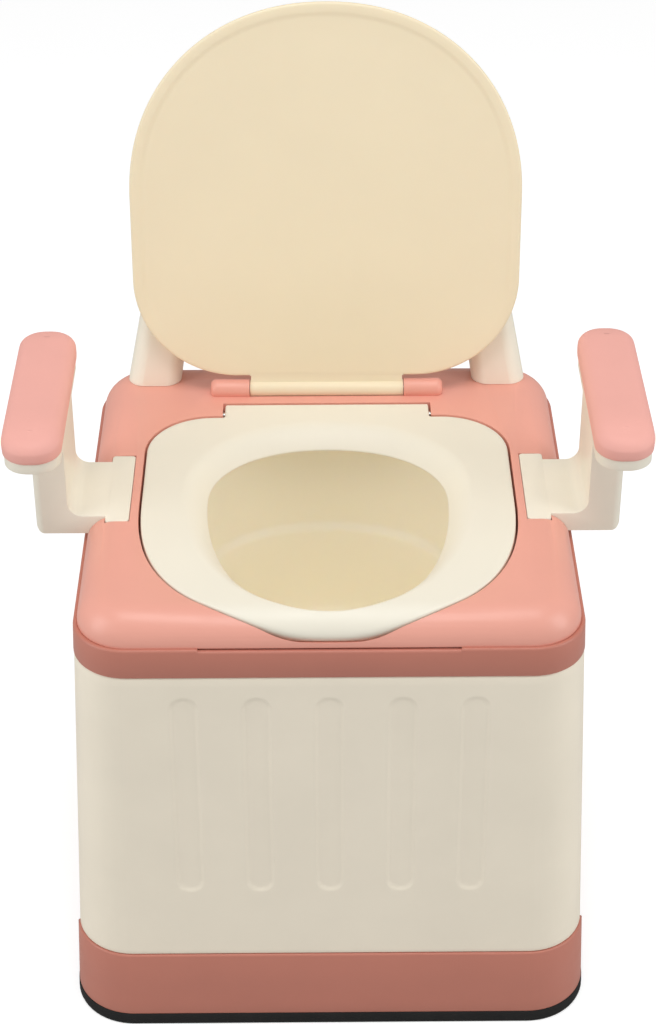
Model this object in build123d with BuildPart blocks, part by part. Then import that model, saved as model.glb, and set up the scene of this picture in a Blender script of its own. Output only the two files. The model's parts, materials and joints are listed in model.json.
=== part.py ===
from build123d import *
import os
from math import atan2, cos, degrees, radians, sin, tan

# A free-standing commode chair: a flared square body with a soft-edged deck, a flush hinged seat over a
# removable bucket, a hinged lid, two plug-in armrests and a plug-in backrest.
# Millimetres. X to the right, Y to the back, Z up. The origin is on the floor, under the body's centre.

# Body: a square tube that flares towards the floor on all four sides
FLOOR_HALF = 219.3  # half width at the floor
SEAM_HALF = 202.6  # half width at the seam under the deck
FLOOR_CORNER = 50.0  # plan corner radius at the floor
SEAM_CORNER = 43.0
RUBBER_TOP = 12.3
BASE_TOP = 57.0  # sides and back of the pink base
FRONT_BASE_TOP = 78.5  # its front panel stands higher
FRONT_PANEL_Y = -172.0  # where the higher front panel ends on the sides
BASE_PROUD = 1.6  # how far the base stands out from the body's line
SHELL_TOP = 365.5
SEAM_Z = 392.0
WALL = 3.6
SEAM_GAP = 0.5  # shadow gap between neighbouring covers
FLANGE_INSET = 24.0  # inner edge of the two screwed flanges, from the outside
FLANGE_THICK = 4.0
FLUTE_COUNT = 5
FLUTE_PITCH = 58.0
FLUTE_WIDTH = 25.0
FLUTE_LOW = 147.0
FLUTE_HIGH = 347.0
FLUTE_DEPTH = 1.8
FINGER_GAP_HALF = 103.0
FINGER_GAP_DEPTH = 1.4

# Deck: the cover that carries the seat, lid, armrests and backrest
DECK_TOP = 418.0
DECK_HALF = 200.0
DECK_CORNER = 42.0
DECK_EDGE = 25.0  # rounding of the deck's top edge
RECESS_FLOOR = 395.6
SKIRT_BOTTOM = 384.0  # locating skirt inside the rim band
SKIRT_INSET = 4.4

# Seat: flush in the deck's recess
SEAT_HALF = 155.0
SEAT_FRONT = -197.9
SEAT_WIDEST_Y = -30.0
SEAT_POWER = 2.6  # superellipse power of the front half
SEAT_CORNER = 55.0
SEAT_SHOULDER_Y = 100.0
SEAT_GROOVE = 1.9
TAB_HALF = 89.8
TAB_REAR = 121.0
SEAT_BOTTOM = 397.0  # lower edge of the outer skirt
SEAT_UNDERSIDE = 406.5
SEAT_LIP_BOTTOM = 402.0  # lower edge of the lip round the hole
SEAT_SKIRT_WALL = 4.5
SEAT_AXIS_Y = 112.0
SEAT_AXIS_Z = 412.0
HOLE_HALF = 101.0
HOLE_REAR = 68.0
HOLE_FRONT = -177.0
HOLE_WIDEST_Y = -15.0
HOLE_POWER = 2.15
DISH_SIDE = 21.0  # how far the dished slope reaches out at the sides
DISH_REAR = 25.0
DISH_FRONT = 8.0
HOLE_LIP = 3.5

# Bucket hanging from the deck's recess floor
BUCKET_HALF = 123.0
BUCKET_REAR = 91.0
BUCKET_FRONT = -181.0
BUCKET_FLANGE = 9.0
BUCKET_WALL = 2.5
BUCKET_STEP_Z = 318.0  # the soft ledge in the bucket's wall
BUCKET_STEP = 5.0
BUCKET_FLOOR_Z = 225.0
BAIL_RADIUS = 128.5
BAIL_WIRE = 2.2
BAIL_CENTRE_Y = -36.0
BAIL_Z = 402.6
GRIP_RADIUS = 3.3
GRIP_LENGTH = 84.0

# Lid: leans back when open, horizontal when closed
LID_LEAN = 8.0
LID_AXIS_Y = 142.0
LID_AXIS_Z = 422.0
LID_HALF = 168.6
LID_LENGTH = 347.0
LID_POWER = 2.12  # superellipse power of the front
LID_REAR = 13.0  # rear edge, from the hinge axis
LID_REAR_CORNER = 90.0
LID_FACE = 2.5  # underside, in front of the hinge axis when open
LID_THICK = 8.0
LID_RIM = 8.0
LID_PANEL = 5.0
LID_TAB_HALF = 68.1
KNUCKLE_RADIUS = 7.5
CHANNEL_RADIUS = 8.3
BARREL_RADIUS = 8.8
BARREL_INNER = 68.6
BARREL_OUTER = 103.0
BARREL_ROUND = 5.0

PIN_RADIUS = 3.0
PIN_CLEARANCE = 0.05
BEYOND = 300.0  # well outside the object, for blocks that trim

# Armrests: a T-shaped plug in the deck, an upright and a padded top
HEAD_INNER = 164.0
HEAD_OUTER = 183.5
HEAD_FRONT = -61.0
HEAD_REAR = 38.0
ARM_FRONT = -53.5
ARM_REAR = 29.0
ARM_BOTTOM = 400.5
UPRIGHT_INNER = 214.0
UPRIGHT_OUTER = 241.5
ARM_FILLET = 12.0
PLUG_GAP = 0.5
PAD_INNER = 209.5
PAD_OUTER = 257.0
PAD_FRONT = -116.5
PAD_REAR = 68.0
PAD_BOTTOM = 508.0
PAD_TOP = 530.0
TRAY_BOTTOM = 499.0
TRAY_INSET = 1.5

# Backrest: two posts and a panel that lean back with the open lid
POST_X = 154.2
POST_Y = 174.0
POST_INWARD = 10.0  # how far the posts lean inward, degrees
TENON_WIDTH = 30.0
TENON_DEPTH = 22.0
TENON_LENGTH = 22.0
POST_FRONT = 153.0  # where the posts' front plane meets the deck plane
POST_SECTIONS = [(-16.0, 48.0, 40.0, 15.0), (100.0, 42.0, 31.0, 12.0), (258.0, 30.0, 20.0, 8.0)]
BACK_FACE_Y = 154.0  # where the panel's front plane meets the deck plane
PANEL_HALF = 127.0
PANEL_LOW = 128.0
PANEL_HIGH = 268.0
PANEL_THICK = 10.0
PANEL_CORNER = 38.0


def half_at(height):
    """Half width of the flared body at a height."""
    return FLOOR_HALF - (FLOOR_HALF - SEAM_HALF) * height / SEAM_Z


def corner_at(height):
    """Plan corner radius of the flared body at a height."""
    return FLOOR_CORNER - (FLOOR_CORNER - SEAM_CORNER) * height / SEAM_Z


def flared_block(low, high, inset=0.0):
    """The body's flared form between two heights, inset from its outside."""
    with BuildPart() as block:
        for height in (low, high):
            width = 2 * (half_at(height) - inset)
            with BuildSketch(Plane.XY.offset(height)):
                RectangleRounded(width, width, corner_at(height) - inset)
        loft()
    return block.part


def soft_block(low, high, half, corner, edge):
    """A square block with rounded corners and a rounded top edge."""
    with BuildPart() as block:
        with BuildSketch(Plane.XY.offset(low)):
            RectangleRounded(2 * half, 2 * half, corner)
        extrude(amount=high - low)
        fillet(block.faces().sort_by(Axis.Z)[-1].edges(), edge)
    return block.part


def quarter(half_width, reach, power, centre_y, steps=6):
    """Points of a superellipse quarter, from its widest point to its end on the centre line."""
    points = []
    for step in range(steps + 1):
        turn = radians(90 * step / steps)
        across = half_width * max(cos(turn), 0) ** (2 / power)
        along = centre_y + reach * sin(turn) ** (2 / power)
        points.append((across, along))
    points[-1] = (0, centre_y + reach)
    return points


def egg_plan(half_width, rear, front, widest_y, power):
    """A closed egg outline, symmetric about the YZ plane."""
    with BuildSketch() as plan:
        with BuildLine():
            Spline(quarter(half_width, rear - widest_y, power, widest_y), tangents=((0, 1), (-1, 0)))
            Spline(quarter(half_width, front - widest_y, power, widest_y), tangents=((0, -1), (-1, 0)))
            mirror(about=Plane.YZ)
        make_face()
    return plan.sketch


def seat_plan(grow=0.0):
    """The seat's outline: egg-shaped front, straight sides, round rear corners and a hinge tab."""
    half = SEAT_HALF + grow
    shoulder = SEAT_SHOULDER_Y + grow
    corner = SEAT_CORNER + grow
    tab = TAB_HALF + grow
    rear = TAB_REAR + grow
    front_reach = SEAT_FRONT - grow - SEAT_WIDEST_Y
    with BuildSketch() as plan:
        with BuildLine():
            Spline(quarter(half, front_reach, SEAT_POWER, SEAT_WIDEST_Y), tangents=((0, -1), (-1, 0)))
            Line((half, SEAT_WIDEST_Y), (half, shoulder - corner))
            RadiusArc((half, shoulder - corner), (half - corner, shoulder), -corner)
            Polyline((half - corner, shoulder), (tab, shoulder), (tab, rear), (0, rear))
            mirror(about=Plane.YZ)
        make_face()
    return plan.sketch


def lid_plan(inset=0.0):
    """The lid's outline on its own plane: a full round front, straight sides and round rear corners."""
    half = LID_HALF - inset
    rear = LID_REAR + inset
    corner = LID_REAR_CORNER - inset
    straight_end = LID_LENGTH - LID_HALF
    with BuildSketch() as plan:
        with BuildLine():
            Line((0, rear), (half - corner, rear))
            RadiusArc((half - corner, rear), (half, rear + corner), -corner)
            Line((half, rear + corner), (half, straight_end))
            Spline(quarter(half, half, LID_POWER, straight_end), tangents=((0, 1), (-1, 0)))
            mirror(about=Plane.YZ)
        make_face()
    return plan.sketch


def prism(plan, low, high):
    """A plan outline made solid between two heights."""
    with BuildPart() as solid:
        with BuildSketch(Plane.XY.offset(low)):
            add(plan)
        extrude(amount=high - low)
    return solid.part


def egg_loft(low_plan, low, high_plan, high):
    """A solid between two egg outlines at two heights."""
    with BuildPart() as solid:
        with BuildSketch(Plane.XY.offset(low)):
            add(low_plan)
        with BuildSketch(Plane.XY.offset(high)):
            add(high_plan)
        loft()
    return solid.part


def slab(x_range, y_range, z_range):
    """A plain block between two corners."""
    with BuildPart() as solid:
        with BuildSketch(Plane.XY.offset(z_range[0])):
            with Locations(((x_range[0] + x_range[1]) / 2, (y_range[0] + y_range[1]) / 2)):
                Rectangle(abs(x_range[1] - x_range[0]), abs(y_range[1] - y_range[0]))
        extrude(amount=z_range[1] - z_range[0])
    return solid.part


def rod(start_x, end_x, y, z, radius):
    """A round rod along X."""
    with BuildPart() as solid:
        with BuildSketch(Plane(origin=(start_x, y, z), x_dir=(0, 1, 0), z_dir=(1, 0, 0))):
            Circle(radius)
        extrude(amount=end_x - start_x)
    return solid.part


def finish(builder, name):
    """Label a finished piece and write its STEP file."""
    builder.part.label = name
    export_step(builder.part, f"parts/{name}.step")


# Anti-slip rubber ring: the object stands on it
RUBBER_WIDTH = 20.0
RUBBER_PROUD = 0.4
TREAD_DEPTH = 1.2
TREAD_WIDTH = 3.0
rubber_outer = flared_block(0, RUBBER_TOP, -BASE_PROUD - RUBBER_PROUD)
rubber_hollow = flared_block(0, RUBBER_TOP, RUBBER_WIDTH)
with BuildPart() as anti_slip_ring:
    add(rubber_outer)
    add(rubber_hollow, mode=Mode.SUBTRACT)
    fillet(anti_slip_ring.faces().sort_by(Axis.Z)[0].outer_wire().edges(), 2.5)
    with BuildSketch():
        tread_half = FLOOR_HALF - RUBBER_WIDTH / 2
        RectangleRounded(2 * tread_half + TREAD_WIDTH, 2 * tread_half + TREAD_WIDTH, FLOOR_CORNER - 8)
        RectangleRounded(
            2 * tread_half - TREAD_WIDTH, 2 * tread_half - TREAD_WIDTH, FLOOR_CORNER - 11, mode=Mode.SUBTRACT
        )
    extrude(amount=TREAD_DEPTH, mode=Mode.SUBTRACT)
finish(anti_slip_ring, "anti_slip_ring")

# Screw places on the two inner flanges
FLANGE_SCREW_AT = 200.0
FLANGE_SCREW_SPREAD = 105.0
FLANGE_SCREWS = []
for sign in (-1, 1):
    for spread in (-FLANGE_SCREW_SPREAD, FLANGE_SCREW_SPREAD):
        FLANGE_SCREWS.append((sign * FLANGE_SCREW_AT, spread))
        FLANGE_SCREWS.append((spread, sign * FLANGE_SCREW_AT))
SCREW_RADIUS = 2.0
SCREW_HEAD = 4.0

# Base: an open tray with a floor, an inner screw flange and a higher front panel
base_outer = flared_block(RUBBER_TOP, BASE_TOP, -BASE_PROUD)
base_hollow = flared_block(RUBBER_TOP + WALL, BASE_TOP, WALL)
base_flange = flared_block(BASE_TOP - FLANGE_THICK, BASE_TOP, WALL)
base_flange_hollow = flared_block(BASE_TOP - FLANGE_THICK, BASE_TOP, FLANGE_INSET)
front_panel = flared_block(BASE_TOP, FRONT_BASE_TOP, -BASE_PROUD)
front_panel_hollow = flared_block(BASE_TOP, FRONT_BASE_TOP, WALL)
behind_panel = slab((-BEYOND, BEYOND), (FRONT_PANEL_Y, BEYOND), (BASE_TOP, FRONT_BASE_TOP))
with BuildPart() as base_band:
    add(front_panel)
    add(front_panel_hollow, mode=Mode.SUBTRACT)
    add(behind_panel, mode=Mode.SUBTRACT)
    add(base_outer)
    add(base_hollow, mode=Mode.SUBTRACT)
    add(base_flange)
    add(base_flange_hollow, mode=Mode.SUBTRACT)
    with BuildSketch(Plane.XY.offset(BASE_TOP)):
        with Locations(*FLANGE_SCREWS):
            Circle(SCREW_RADIUS + 0.2)
    extrude(amount=-FLANGE_THICK, mode=Mode.SUBTRACT)
finish(base_band, "base_band")

# Body shell: a flared tube with an inner screw flange, a top lip and shallow flutes
TOP_LIP = 9.0
TOP_LIP_WALL = 3.0
shell_outer = flared_block(BASE_TOP + SEAM_GAP, SHELL_TOP)
shell_hollow = flared_block(BASE_TOP, SHELL_TOP + TOP_LIP, WALL)
shell_lip = flared_block(SHELL_TOP, SHELL_TOP + TOP_LIP, WALL + SEAM_GAP)
shell_lip_hollow = flared_block(BASE_TOP, SHELL_TOP + TOP_LIP, WALL + SEAM_GAP + TOP_LIP_WALL)
lip_root = flared_block(SHELL_TOP - TOP_LIP, SHELL_TOP, WALL)
shell_flange = flared_block(BASE_TOP + SEAM_GAP, BASE_TOP + SEAM_GAP + FLANGE_THICK, WALL)
shell_flange_hollow = flared_block(BASE_TOP, BASE_TOP + 2 * FLANGE_THICK, FLANGE_INSET)
panel_room = slab((-BEYOND, BEYOND), (-BEYOND, FRONT_PANEL_Y + SEAM_GAP), (0, FRONT_BASE_TOP + SEAM_GAP))
panel_inside = flared_block(BASE_TOP, FRONT_BASE_TOP + SEAM_GAP, WALL + SEAM_GAP)
FLARE = degrees(atan2(FLOOR_HALF - SEAM_HALF, SEAM_Z))
flute_middle = (FLUTE_LOW + FLUTE_HIGH) / 2
with BuildPart() as panel_cut:
    add(panel_room)
    add(panel_inside, mode=Mode.SUBTRACT)
with BuildPart() as body_shell:
    add(shell_outer)
    add(shell_hollow, mode=Mode.SUBTRACT)
    add(shell_lip)
    add(lip_root)
    add(shell_lip_hollow, mode=Mode.SUBTRACT)
    add(shell_flange)
    with BuildSketch(Plane.XY.offset(BASE_TOP + SEAM_GAP)):
        with Locations(*FLANGE_SCREWS):
            Circle(SCREW_RADIUS + 0.2)
    extrude(amount=FLANGE_THICK, mode=Mode.SUBTRACT)
    add(shell_flange_hollow, mode=Mode.SUBTRACT)
    add(panel_cut.part, mode=Mode.SUBTRACT)
    for turn in range(4):
        outward = Vector(0, -cos(radians(FLARE)), sin(radians(FLARE))).rotate(Axis.Z, 90 * turn)
        across = Vector(1, 0, 0).rotate(Axis.Z, 90 * turn)
        centre = Vector(0, -half_at(flute_middle), flute_middle).rotate(Axis.Z, 90 * turn)
        with BuildSketch(Plane(origin=centre, x_dir=across, z_dir=outward)):
            with GridLocations(FLUTE_PITCH, 1, FLUTE_COUNT, 1):
                SlotOverall(FLUTE_HIGH - FLUTE_LOW, FLUTE_WIDTH, rotation=90)
        extrude(amount=-FLUTE_DEPTH, taper=40, mode=Mode.SUBTRACT)
finish(body_shell, "body_shell")

# Screws that hold the base to the body shell
with BuildPart() as base_screws:
    with BuildSketch(Plane.XY.offset(BASE_TOP - FLANGE_THICK - 2.2)):
        with Locations(*FLANGE_SCREWS):
            Circle(SCREW_HEAD)
    extrude(amount=2.2)
    with BuildSketch(Plane.XY.offset(BASE_TOP - FLANGE_THICK)):
        with Locations(*FLANGE_SCREWS):
            Circle(SCREW_RADIUS)
    extrude(amount=2 * FLANGE_THICK + 4)
finish(base_screws, "base_screws")

# Rim band: the frame that the deck rests on, with a finger gap under the deck's front edge
band_outer = flared_block(SHELL_TOP + 0.3, SEAM_Z, -0.6)
band_hollow = flared_block(SHELL_TOP, SEAM_Z, WALL)
with BuildPart() as rim_band:
    add(band_outer)
    add(band_hollow, mode=Mode.SUBTRACT)
    with BuildSketch(Plane.XY.offset(SEAM_Z)):
        with Locations((0, -SEAM_HALF)):
            Rectangle(2 * FINGER_GAP_HALF, 4 * WALL)
    extrude(amount=-FINGER_GAP_DEPTH, mode=Mode.SUBTRACT)
finish(rim_band, "rim_band")

# Deck
deck_form = soft_block(SEAM_Z, DECK_TOP, DECK_HALF, DECK_CORNER, DECK_EDGE)
deck_inner = soft_block(SEAM_Z, DECK_TOP - WALL, DECK_HALF - WALL, DECK_CORNER - WALL, DECK_EDGE - WALL)
recess = prism(seat_plan(SEAT_GROOVE), RECESS_FLOOR, DECK_TOP + 1)
recess_jacket = prism(seat_plan(SEAT_GROOVE + WALL), SEAM_Z - 1, DECK_TOP)
bucket_opening = prism(
    egg_plan(BUCKET_HALF + 1, BUCKET_REAR + 1, BUCKET_FRONT - 1, HOLE_WIDEST_Y, HOLE_POWER), SEAM_Z - 1, DECK_TOP
)
hinge_block = slab((-BARREL_OUTER - 3, BARREL_OUTER + 3), (LID_AXIS_Y - 16, LID_AXIS_Y + 16), (DECK_TOP - 12, DECK_TOP))
skirt_outer = flared_block(SKIRT_BOTTOM, SEAM_Z + 2, SKIRT_INSET)
skirt_hollow = flared_block(SKIRT_BOTTOM, SEAM_Z + 2, SKIRT_INSET + WALL)


def plug_room(side, grow, low):
    """The T-shaped room for an armrest's plug in the deck."""
    head = slab(
        (side * (HEAD_INNER - grow), side * (HEAD_OUTER + grow)), (HEAD_FRONT - grow, HEAD_REAR + grow), (low, DECK_TOP + 1)
    )
    neck = slab((side * HEAD_OUTER, side * BEYOND), (ARM_FRONT - grow, ARM_REAR + grow), (low, DECK_TOP + 1))
    with BuildPart() as room:
        add(head)
        add(neck)
    return room.part


def socket_room(side, grow, depth):
    """The room for a backrest post's tenon, along the direction in which the backrest lifts off."""
    with BuildPart() as room:
        with BuildSketch(tenon_plane(side)):
            RectangleRounded(TENON_WIDTH + 2 * grow, TENON_DEPTH + 2 * grow, 5 + grow)
        extrude(amount=-depth)
        extrude(room.faces().sort_by(Axis.Z)[-1], amount=8)
    return room.part


def tenon_plane(side):
    """Plane at a post's foot on the deck, square to the direction in which the backrest lifts off."""
    lean = radians(LID_LEAN)
    return Plane(origin=(side * POST_X, POST_Y, DECK_TOP), x_dir=(1, 0, 0), z_dir=(0, sin(lean), cos(lean)))


def hinge_barrel(side):
    """A lid hinge barrel on the deck, rounded at its outer end."""
    with BuildPart() as barrel:
        add(rod(side * BARREL_INNER, side * BARREL_OUTER, LID_AXIS_Y, LID_AXIS_Z, BARREL_RADIUS))
        fillet(barrel.faces().sort_by(Axis.X)[-1 if side > 0 else 0].edges(), BARREL_ROUND)
    return barrel.part


barrels = [hinge_barrel(side) for side in (-1, 1)]
channel = rod(-BARREL_INNER, BARREL_INNER, LID_AXIS_Y, LID_AXIS_Z, CHANNEL_RADIUS)
plug_rooms = [plug_room(side, PLUG_GAP, ARM_BOTTOM - PLUG_GAP) for side in (-1, 1)]
plug_jackets = [plug_room(side, PLUG_GAP + WALL, ARM_BOTTOM - PLUG_GAP - WALL) for side in (-1, 1)]
socket_rooms = [socket_room(side, 0.4, TENON_LENGTH + 0.4) for side in (-1, 1)]
socket_jackets = [socket_room(side, 0.4 + WALL, TENON_LENGTH + 0.4 + WALL) for side in (-1, 1)]
seat_pin_bore = rod(-TAB_HALF - 12, TAB_HALF + 12, SEAT_AXIS_Y, SEAT_AXIS_Z, PIN_RADIUS + PIN_CLEARANCE)
lid_pin_bore = rod(-BARREL_OUTER + 3, BARREL_OUTER - 3, LID_AXIS_Y, LID_AXIS_Z, PIN_RADIUS + PIN_CLEARANCE)
around_deck = slab((-BEYOND, BEYOND), (-BEYOND, BEYOND), (SEAM_Z, DECK_TOP + 60))
with BuildPart() as deck_cavity:
    add(deck_inner)
    for jacket in [recess_jacket, hinge_block, *plug_jackets, *socket_jackets]:
        add(jacket, mode=Mode.SUBTRACT)
with BuildPart() as outside_deck:
    add(around_deck)
    add(deck_form, mode=Mode.SUBTRACT)
with BuildPart() as socket_walls:
    for jacket in socket_jackets:
        add(jacket)
    add(outside_deck.part, mode=Mode.SUBTRACT)
with BuildPart() as skirt:
    add(skirt_outer)
    add(skirt_hollow, mode=Mode.SUBTRACT)
with BuildPart() as top_deck:
    add(deck_form)
    add(deck_cavity.part, mode=Mode.SUBTRACT)
    add(skirt.part)
    add(socket_walls.part)
    for barrel in barrels:
        add(barrel)
    for room in [recess, bucket_opening, channel, *plug_rooms, *socket_rooms, seat_pin_bore, lid_pin_bore]:
        add(room, mode=Mode.SUBTRACT)
finish(top_deck, "top_deck")

# Bucket: an egg-shaped tub with a soft ledge in its wall, hanging by its flange on the recess floor
BUCKET_RIM = RECESS_FLOOR + 3
BUCKET_DRAFT = 5.0  # how far each stretch of wall draws in towards the bottom
BUCKET_LOWER_DRAFT = 9.0
LEDGE_HEIGHT = 6.0
EAR_X = BAIL_RADIUS + 3.2
EAR_THICK = 3.0
EAR_WIDTH = 11.0
EAR_FOOT = 3.0
EAR_TOP = SEAT_UNDERSIDE - 0.6


def bucket_plan(inset):
    """The bucket's outline, drawn in evenly."""
    return egg_plan(BUCKET_HALF - inset, BUCKET_REAR - inset, BUCKET_FRONT + inset, HOLE_WIDEST_Y, HOLE_POWER)


def bucket_form(wall, floor, top):
    """The bucket's outside, or its hollow when a wall is given."""
    lower = BUCKET_DRAFT + BUCKET_STEP
    upper = egg_loft(bucket_plan(BUCKET_DRAFT + wall), BUCKET_STEP_Z, bucket_plan(wall), top)
    ledge = egg_loft(
        bucket_plan(lower + wall), BUCKET_STEP_Z - LEDGE_HEIGHT, bucket_plan(BUCKET_DRAFT + wall), BUCKET_STEP_Z
    )
    tub = egg_loft(
        bucket_plan(lower + BUCKET_LOWER_DRAFT + wall), floor, bucket_plan(lower + wall), BUCKET_STEP_Z - LEDGE_HEIGHT
    )
    with BuildPart() as form:
        add(upper)
        add(ledge)
        add(tub)
    return form.part


bucket_outside = bucket_form(0, BUCKET_FLOOR_Z, BUCKET_RIM)
bucket_hollow = bucket_form(BUCKET_WALL, BUCKET_FLOOR_Z + BUCKET_WALL, BUCKET_RIM)
bucket_flange = prism(bucket_plan(-BUCKET_FLANGE), RECESS_FLOOR, BUCKET_RIM)
with BuildPart() as bucket:
    add(bucket_outside)
    add(bucket_flange)
    add(bucket_hollow, mode=Mode.SUBTRACT)
    for side in (-1, 1):
        with BuildSketch(Plane.XY.offset(RECESS_FLOOR)):
            with Locations((side * (EAR_X + EAR_THICK / 2), BAIL_CENTRE_Y)):
                Rectangle(EAR_THICK + 2 * EAR_FOOT, EAR_WIDTH)
        extrude(amount=BUCKET_RIM - RECESS_FLOOR)
        with BuildSketch(Plane.XY.offset(BUCKET_RIM)):
            with Locations((side * (EAR_X + EAR_THICK / 2), BAIL_CENTRE_Y)):
                Rectangle(EAR_THICK, EAR_WIDTH)
        extrude(amount=EAR_TOP - BUCKET_RIM)
    for side in (-1, 1):
        with BuildSketch(Plane(origin=(side * EAR_X, BAIL_CENTRE_Y, BAIL_Z), x_dir=(0, 1, 0), z_dir=(side, 0, 0))):
            Circle(BAIL_WIRE + PIN_CLEARANCE)
        extrude(amount=EAR_THICK, mode=Mode.SUBTRACT)
finish(bucket, "bucket")


def bail_arc(half_turn, outer, inner=0.0):
    """A round bar, or a sleeve, bent along the bail's arc and centred at its back."""
    ends = [(BAIL_RADIUS * sin(radians(turn)), BAIL_CENTRE_Y + BAIL_RADIUS * cos(radians(turn)))
            for turn in (-half_turn, 0, half_turn)]
    with BuildPart() as bar:
        with BuildLine(Plane.XY.offset(BAIL_Z)) as path:
            ThreePointArc(*ends)
        with BuildSketch(path.line ^ 0):
            Circle(outer)
            if inner:
                Circle(inner, mode=Mode.SUBTRACT)
        sweep()
    return bar.part


# Bail handle lying back on the bucket's flange, with a thin grip at its middle
bail_bow = bail_arc(90, BAIL_WIRE)
bail_ends = [
    rod(side * (BAIL_RADIUS - 1), side * (EAR_X + EAR_THICK - 0.2), BAIL_CENTRE_Y, BAIL_Z, BAIL_WIRE)
    for side in (-1, 1)
]
with BuildPart() as bucket_handle:
    add(bail_bow)
    for bail_end in bail_ends:
        add(bail_end)
finish(bucket_handle, "bucket_handle")

grip_sleeve = bail_arc(degrees(GRIP_LENGTH / 2 / BAIL_RADIUS), GRIP_RADIUS, BAIL_WIRE + PIN_CLEARANCE)
with BuildPart() as bucket_grip:
    add(grip_sleeve)
finish(bucket_grip, "bucket_grip")

# Seat: follows the deck's surface, with a skirt outside, a lip round the hole and a dished inner slope
SEAT_TAB_BOTTOM = 404.5
TAB_ROUND = 3.0
SEAT_BORE_INNER = 79.0
hole_low = egg_plan(HOLE_HALF, HOLE_REAR, HOLE_FRONT, HOLE_WIDEST_Y, HOLE_POWER)
hole_high = egg_plan(
    HOLE_HALF + DISH_SIDE, HOLE_REAR + DISH_REAR, HOLE_FRONT - DISH_FRONT, HOLE_WIDEST_Y, HOLE_POWER
)
lip_plan = egg_plan(
    HOLE_HALF + HOLE_LIP, HOLE_REAR + HOLE_LIP, HOLE_FRONT - HOLE_LIP, HOLE_WIDEST_Y, HOLE_POWER
)
seat_form = prism(seat_plan(), SEAT_BOTTOM, DECK_TOP + 1)
seat_hollow = prism(seat_plan(-SEAT_SKIRT_WALL), SEAT_BOTTOM - 1, SEAT_UNDERSIDE)
lip_form = prism(lip_plan, SEAT_BOTTOM - 2, SEAT_UNDERSIDE)
under_lip = prism(lip_plan, SEAT_BOTTOM - 2, SEAT_LIP_BOTTOM)
hole = egg_loft(hole_low, SEAT_LIP_BOTTOM - 1, hole_high, DECK_TOP)
under_tab = slab((-BEYOND, BEYOND), (SEAT_SHOULDER_Y - 8, BEYOND), (SEAT_BOTTOM - 1, SEAT_TAB_BOTTOM))
seat_bores = [
    rod(side * SEAT_BORE_INNER, side * (TAB_HALF + 1), SEAT_AXIS_Y, SEAT_AXIS_Z, PIN_RADIUS + PIN_CLEARANCE)
    for side in (-1, 1)
]
with BuildPart() as underside:
    add(seat_hollow)
    add(lip_form, mode=Mode.SUBTRACT)
with BuildPart() as seat_ring:
    add(seat_form)
    add(deck_form, mode=Mode.INTERSECT)
    rear_edge = seat_ring.edges().filter_by(Axis.X).filter_by_position(Axis.Y, TAB_REAR - 1, TAB_REAR + 1)
    fillet(rear_edge.sort_by(Axis.Z)[-1], TAB_ROUND)
    add(underside.part, mode=Mode.SUBTRACT)
    for room in [under_lip, hole, under_tab, *seat_bores]:
        add(room, mode=Mode.SUBTRACT)
finish(seat_ring, "seat_ring")

# Rubber pads under the seat's skirt
BUMPER_LENGTH = 14.0
BUMPER_WIDTH = 3.6
BUMPER_BOTTOM = RECESS_FLOOR + 0.3
BUMPER_PLACES = [
    (side * (SEAT_HALF - SEAT_SKIRT_WALL / 2), along) for side in (-1, 1) for along in (-45.0, 30.0)
]
with BuildPart() as seat_bumpers:
    with BuildSketch(Plane.XY.offset(BUMPER_BOTTOM)):
        with Locations(*BUMPER_PLACES):
            RectangleRounded(BUMPER_WIDTH, BUMPER_LENGTH, 1.5)
    extrude(amount=SEAT_BOTTOM - BUMPER_BOTTOM)
finish(seat_bumpers, "seat_bumpers")

# Hinge pins: each seat pin joins the tab and the deck, each lid pin joins the knuckle and a barrel
SEAT_PIN_OUTER = 96.0
LID_PIN_INNER = 42.0
for side, side_name in ((-1, "left"), (1, "right")):
    seat_pin_form = rod(side * (SEAT_BORE_INNER + 1), side * SEAT_PIN_OUTER, SEAT_AXIS_Y, SEAT_AXIS_Z, PIN_RADIUS)
    with BuildPart() as seat_pin:
        add(seat_pin_form)
        chamfer(seat_pin.edges(), 0.5)
    finish(seat_pin, f"seat_pin_{side_name}")
    lid_pin_form = rod(side * LID_PIN_INNER, side * (BARREL_OUTER - 4), LID_AXIS_Y, LID_AXIS_Z, PIN_RADIUS)
    with BuildPart() as lid_pin:
        add(lid_pin_form)
        chamfer(lid_pin.edges(), 0.5)
    finish(lid_pin, f"lid_pin_{side_name}")

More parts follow.
